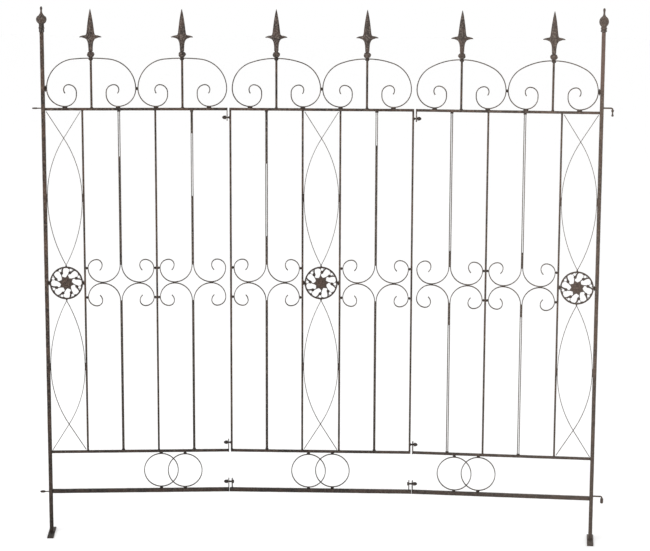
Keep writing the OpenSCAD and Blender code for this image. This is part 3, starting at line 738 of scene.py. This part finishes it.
# %% A thread and a bead
CREST, ROOT_DEPTH = 0.7, 0.65  # where on each turn the crest lies, and how deep the root is
ROOT = 0.15  # where on each turn the root lies


def threaded(length, radius, pitch=1.0):
    """A threaded rod along +X from the origin, in mm, with a chamfered end."""
    profile = [(0, 0), (radius - 0.6, 0)]
    for k in range(int(length / pitch)):
        profile += [(radius - ROOT_DEPTH, k * pitch + ROOT), (radius, k * pitch + CREST)]
    profile += [(radius - 0.7, length), (0, length)]
    return turned(spun(profile, steps=24), about("Y", pi / 2))


def bead(bm, spot, size, turn=0.0):
    """Add a lumpy bead of weld at a spot, with a size in mm, turned about Z."""
    made = bmesh.ops.create_icosphere(bm, subdivisions=2, radius=0.5)["verts"]
    for vert in made:
        lump = 1 + 0.22 * noise.noise(vert.co * 3 + spot * 130)
        shape = about("Z", turn) @ Vector([c * s for c, s in zip(vert.co, size)])
        vert.co = spot + shape * lump * MM


print("one turn of thread is cut", ROOT_DEPTH, "mm deep")

# %% The four studs
STUD_COLLAR = 2.2  # how far the CAD stud's weld collar stands out round it, in mm
STUD_BEAD = (3.4, 9.5, 9.5)

studs = bmesh.new()
for solid in solids_of("middle_joint_studs"):
    centre, size = extent(solid)
    out = 1 if centre.x > 0 else -1
    rod = threaded(size.x / MM, size.y / MM / 2 - STUD_COLLAR)
    if out < 0:
        turned(rod, about("Z", pi))
    root = centre - Vector((out * size.x / 2, 0, 0))
    merge_in(studs, stand(rod, root))
    bead(studs, root + Vector((out * 0.6 * MM, 0, 0)), STUD_BEAD)
make_piece(studs, "middle_joint_studs_threaded", "middle_joint_studs", BOLT_STEEL)

# %% [markdown]
# ## Welds
#
# Every small pad in the CAD frame stands for a weld. A weld could be a
# chamfer, but the eye expects a lump: so each becomes a small sphere,
# stretched to its size, and pushed in and out a little by noise. More beads
# mark where the stiles, stems and posts meet the rails, where the strips
# start, and where the medallion strips touch the bars beside them.

# %% Where the strips are welded
STRIP_END_BEAD = (5.5, 9, 7)  # along the panel, across it and upwards, in mm, as all beads are
STRIP_SIDE_BEAD = (3.4, 8, 26)
TOUCH_FROM, TOUCH_TO = 0.15, 0.33  # strips touch the bars this far above and below the rosette


def strip_ends(node):
    """The end of each strip that meets a rail, as a spot."""
    upper = "upper" in node
    for solid in solids_of(node):
        edge = (max if upper else min)(p.z for p in solid)
        end = [p for p in solid if abs(p.z - edge) < MM]
        yield sum(end, Vector()) / len(end) + Vector((0, 0, (-2 if upper else 2) * MM))


def widest_points(node, turn):
    """Where each medallion strip touches the bar beside it."""
    solids = solids_of(node)
    middle = about("Z", -turn) @ extent([p for solid in solids for p in solid], turn)[0]
    for solid in solids:
        flat = [about("Z", -turn) @ p for p in solid]
        reach = [p for p in flat if TOUCH_FROM < abs(p.z - middle.z) < TOUCH_TO]
        far = max(reach, key=lambda p: abs(p.x - middle.x))
        yield about("Z", turn) @ Vector((far.x, middle.y, far.z))


def weld_strips(bm, panel, turn):
    """A bead at each scroll's end, and where each medallion strip touches a bar."""
    for band in ("upper", "lower"):
        for spot in strip_ends(f"{panel}_{band}_scrolls"):
            bead(bm, spot, STRIP_END_BEAD, turn)
    for spot in widest_points(panel + "_medallion_strips", turn):
        bead(bm, spot, STRIP_SIDE_BEAD, turn)


print("the upper scrolls of the middle panel end at",
      [round(spot.x, 3) for spot in strip_ends("middle_upper_scrolls")])

# %% Where the pads, stiles, stems and posts are welded
PAD_SWELL, LONG_SWELL = 1.15, 2.1  # a bead's size as a share of its pad's
LEAST_BEAD = 3.2
CREST_HEIGHT, POST_SIDE = 1.4, 0.8  # metres: past both, a pad joins a crest scroll to a post
STILE_BEAD = (7, 3, 4)
STEM_FOOT_BEAD, STEM_TOP_BEAD = (10, 8, 5), (14, 12, 13)
POST_SIDE_BEAD, POST_FACE_BEAD = (3.2, 13, 4), (13, 3.2, 4)


def weld_pads(bm, panel, turn):
    """A bead for each CAD pad, and a longer one where the weld is a long run."""
    for solid in solids_of(panel + "_weld_pads"):
        centre, size = extent(solid, turn)
        at_post = centre.z > CREST_HEIGHT and abs(centre.x) > POST_SIDE
        tall = LONG_SWELL if at_post or size.z < LEAST_BEAD * MM else PAD_SWELL
        swell = (PAD_SWELL, PAD_SWELL, tall)
        bead(bm, centre, [max(s / MM * k, LEAST_BEAD) for s, k in zip(size, swell)], turn)


def weld_uprights(bm, panel, turn):
    """Beads at the ends of the stiles, on both faces, and of the crest stems."""
    for solid in solids_of(panel + "_stiles"):
        centre, size = extent(solid, turn)
        for up in (-1, 1):
            for back in (-1, 1):
                out = about("Z", turn) @ Vector((0, back * size.y * 0.45, 0))
                end = Vector((0, 0, up * (size.z / 2 - 0.6 * MM)))
                bead(bm, centre + out + end, STILE_BEAD, turn)
    for solid in solids_of(panel + "_crest_stems"):
        centre, size = extent(solid, turn)
        bead(bm, centre - Vector((0, 0, size.z / 2 - MM)), STEM_FOOT_BEAD, turn)
        bead(bm, centre + Vector((0, 0, size.z / 2 - 3 * MM)), STEM_TOP_BEAD, turn)


def weld_post(bm, panel, turn):
    """Fillets where the rails run into the post, and round the post's foot."""
    out = -1 if panel == "left" else 1
    along = about("Z", turn)
    for rail in ("top_rail", "lower_rail", "base_rail"):
        centre, size = extent(solids_of(f"{panel}_{rail}")[0], turn)
        end = centre + along @ Vector((out * (size.x / 2 - 0.5 * MM), 0, 0))
        for back in (-1, 1):
            bead(bm, end + along @ Vector((0, back * size.y * 0.47, 0)),
                 (4, 3, size.z / MM * 1.05), turn)
    foot = foot_of(panel + "_post")
    for side in (-1, 1):
        bead(bm, foot + along @ Vector((side * 6 * MM, 0, 0.8 * MM)), POST_SIDE_BEAD, turn)
        bead(bm, foot + along @ Vector((0, side * 6 * MM, 0.8 * MM)), POST_FACE_BEAD, turn)


for panel in PANELS:
    beads, turn = bmesh.new(), SWING.get(panel, 0.0)
    weld_pads(beads, panel, turn)
    weld_strips(beads, panel, turn)
    weld_uprights(beads, panel, turn)
    if panel in BODY:
        weld_post(beads, panel, turn)
    make_piece(beads, panel + "_weld_beads", panel + "_weld_pads", WELD_IRON,
               sharp=radians(180))

# %% [markdown]
# ## Floor, light and camera
#
# Thin dark iron shows best as a clean outline. A dark room with spotlights
# would give drama, but would hide the curls, so the floor and the surround
# are plain white, and one broad lamp high at the front left shades the
# castings softly. A long lens from a few metres away keeps the bars upright.

# %% The studio
scene = bpy.context.scene
scene.view_settings.view_transform = "Standard"

white = bpy.data.materials.new("studio white")
white.use_nodes = True
paint = white.node_tree.nodes["Principled BSDF"].inputs
paint["Base Color"].default_value = linear("#ffffff")
paint["Roughness"].default_value = 0.9

floor_mesh = bpy.data.meshes.new("floor")
square = bmesh.new()
bmesh.ops.create_grid(square, x_segments=1, y_segments=1, size=30)
square.to_mesh(floor_mesh)
square.free()
floor = bpy.data.objects.new("floor", floor_mesh)
floor_mesh.materials.append(white)
bpy.context.collection.objects.link(floor)

world = bpy.data.worlds.new("studio surround")
scene.world = world
world.use_nodes = True
surround = world.node_tree.nodes["Background"].inputs
surround["Color"].default_value = (1, 1, 1, 1)
surround["Strength"].default_value = 1.0

LAMP_AIM = Vector((0, 0, 0.8))  # the middle of the gate
lamp_data = bpy.data.lights.new("broad lamp", "AREA")
lamp_data.size = 3.0
lamp_data.energy = 90
lamp = bpy.data.objects.new("broad lamp", lamp_data)
lamp.location = (-2.5, -4.0, 3.6)
lamp.rotation_euler = (LAMP_AIM - lamp.location).to_track_quat("-Z", "Y").to_euler()
bpy.context.collection.objects.link(lamp)
print("the lamp is", round((LAMP_AIM - lamp.location).length, 2), "m from the gate's middle")

# %% The camera
CAMERA_SPOT = (0.2337, -6.1373, 1.9106)
PAN, LOOK_DOWN, ROLL = 2.05, 9.84, 0.21  # degrees

camera_data = bpy.data.cameras.new("camera")
camera_data.sensor_width = 36
camera_data.lens = 110.8
camera = bpy.data.objects.new("camera", camera_data)
camera.matrix_world = (Matrix.Translation(CAMERA_SPOT)
                       @ Matrix.Rotation(radians(PAN), 4, "Z")
                       @ Matrix.Rotation(radians(90 - LOOK_DOWN), 4, "X")
                       @ Matrix.Rotation(radians(ROLL), 4, "Z"))
bpy.context.collection.objects.link(camera)
scene.camera = camera
print("the camera looks down by", LOOK_DOWN, "degrees")
